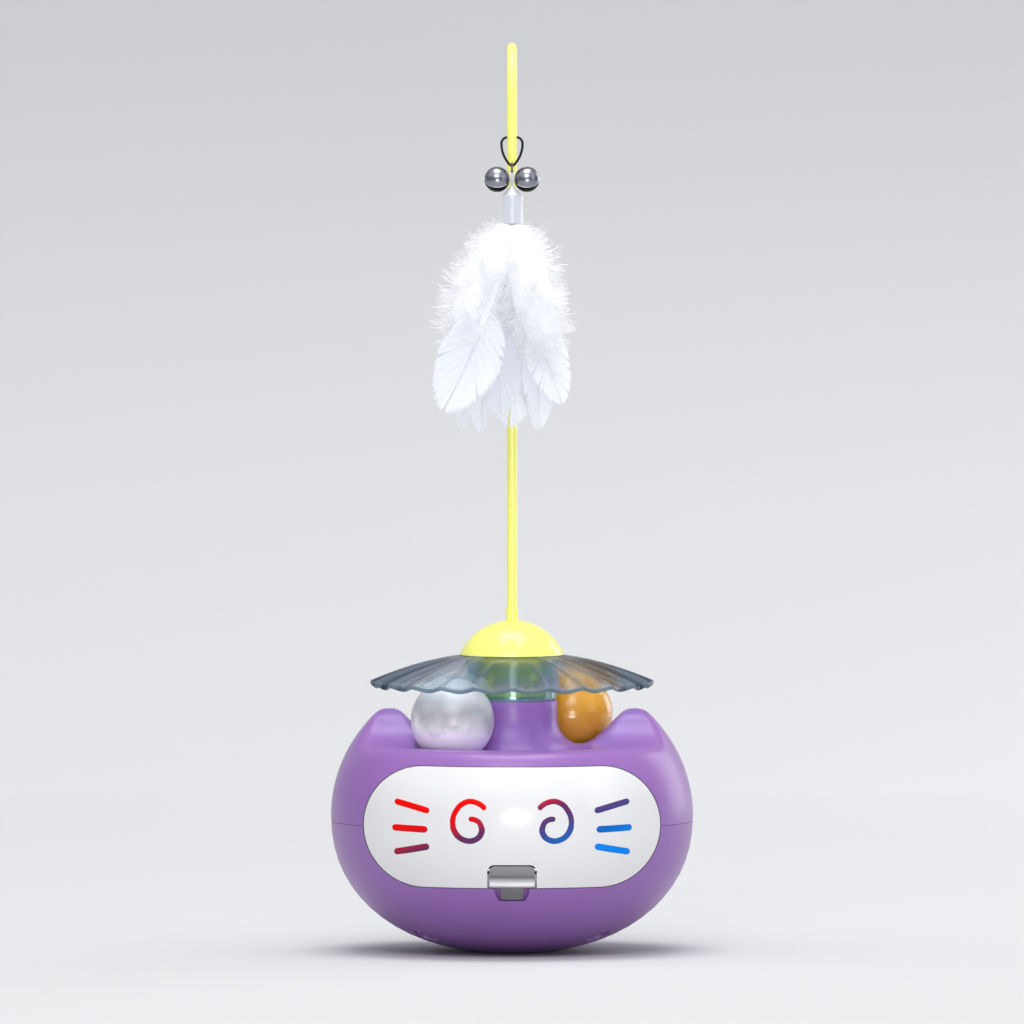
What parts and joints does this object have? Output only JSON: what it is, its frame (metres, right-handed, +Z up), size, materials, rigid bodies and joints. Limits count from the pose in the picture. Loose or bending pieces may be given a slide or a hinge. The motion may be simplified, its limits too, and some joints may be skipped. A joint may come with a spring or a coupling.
{
  "type": "wobble cat toy",
  "caption": "Weighted cat-head base that rocks, with balls trapped under a spinning clear canopy and a bent cane that dangles a feather lure with bells.",
  "frame": {"origin": "centre of the base's box on the floor plane, under the turntable's axis", "axes": "+Z up along the cane, -Y towards the printed face and the lure, +X to the viewer's right"},
  "size_m": [0.1304, 0.1304, 0.328],
  "materials": {
    "shell": "smooth purple moulding",
    "weight": "as cast",
    "steel": "bright",
    "tray": "white moulding",
    "face": "glossy white with a printed face",
    "latch": "satin silver",
    "pearl_ball": "pearl white",
    "amber_ball": "translucent amber",
    "bush": "natural",
    "clear": "clear smoky fluted moulding",
    "yellow": "glossy lemon yellow",
    "dark_wire": "dark wire",
    "bell": "dark bright plating",
    "plume": "white down and vanes"
  },
  "bodies": {
    "base": {"lower_shell": "shell", "upper_shell": "shell", "counterweight": "weight", "weight_clamp": "steel", "weight_screws": "steel", "shell_screws": "steel", "tray_screws": "steel", "treat_tray": "tray", "bearing_bush": "bush"},
    "face": {"face_cover": "face", "latch_pin": "steel", "latch_spring": "steel"},
    "latch": {"latch": "latch"},
    "front_ball": {"front_ball": "pearl_ball"},
    "back_ball": {"back_ball": "amber_ball"},
    "turntable": {"canopy": "clear", "dome_cap": "yellow", "thrust_washer": "steel", "retaining_washer": "steel", "retaining_screw": "steel"},
    "cane": {"teaser_rod": "yellow"},
    "loop": {"lure_loop": "dark_wire", "jump_ring": "steel"},
    "lure": {"lure_plug": "tray", "lure_sleeve": "tray", "bell_pin": "steel", "feather_1": "plume", "feather_2": "plume", "feather_3": "plume", "feather_4": "plume", "feather_5": "plume", "feather_6": "plume", "feather_7": "plume", "feather_8": "plume", "feather_9": "plume"},
    "left_bell": {"left_bell": "bell", "left_pellet": "steel"},
    "right_bell": {"right_bell": "bell", "right_pellet": "steel"}
  },
  "joints": [
    {"name": "face_pull", "type": "slide", "parent": "base", "child": "face", "axis": [0, -1, 0], "range_m": [0, 0.045]},
    {"name": "latch_tilt", "type": "hinge", "parent": "face", "child": "latch", "pos_m": [0, -0.06002, 0.033], "axis": [-1, 0, 0], "range_deg": [0, 5.5], "stiffness_Nm_per_rad": 0.05, "springref_deg": -5.73},
    {"name": "front_ball_roll", "type": "hinge", "parent": "base", "child": "front_ball", "pos_m": [0, 0, 0.0846], "axis": [0, 0, 1], "range_deg": [0, 72]},
    {"name": "back_ball_roll", "type": "hinge", "parent": "base", "child": "back_ball", "pos_m": [0, 0, 0.0846], "axis": [0, 0, 1], "range_deg": [0, 72]},
    {"name": "turntable_spin", "type": "hinge", "parent": "base", "child": "turntable", "pos_m": [0, 0, 0.085], "axis": [0, 0, 1], "continuous": true},
    {"name": "cane_pull", "type": "slide", "parent": "turntable", "child": "cane", "axis": [0, 0, 1], "range_m": [0, 0.03]},
    {"name": "loop_swing", "type": "hinge", "parent": "cane", "child": "loop", "pos_m": [0, -0.036, 0.2947], "axis": [-1, 0, 0], "range_deg": [-4, 75]},
    {"name": "lure_swing", "type": "hinge", "parent": "loop", "child": "lure", "pos_m": [0, -0.036, 0.28207], "axis": [0, 1, 0], "range_deg": [-30, 30]},
    {"name": "left_bell_turn", "type": "hinge", "parent": "lure", "child": "left_bell", "pos_m": [0, -0.036, 0.27956], "axis": [1, 0, 0], "range_deg": [-60, 60]},
    {"name": "right_bell_turn", "type": "hinge", "parent": "lure", "child": "right_bell", "pos_m": [0, -0.036, 0.27956], "axis": [1, 0, 0], "range_deg": [-60, 60]}
  ]
}
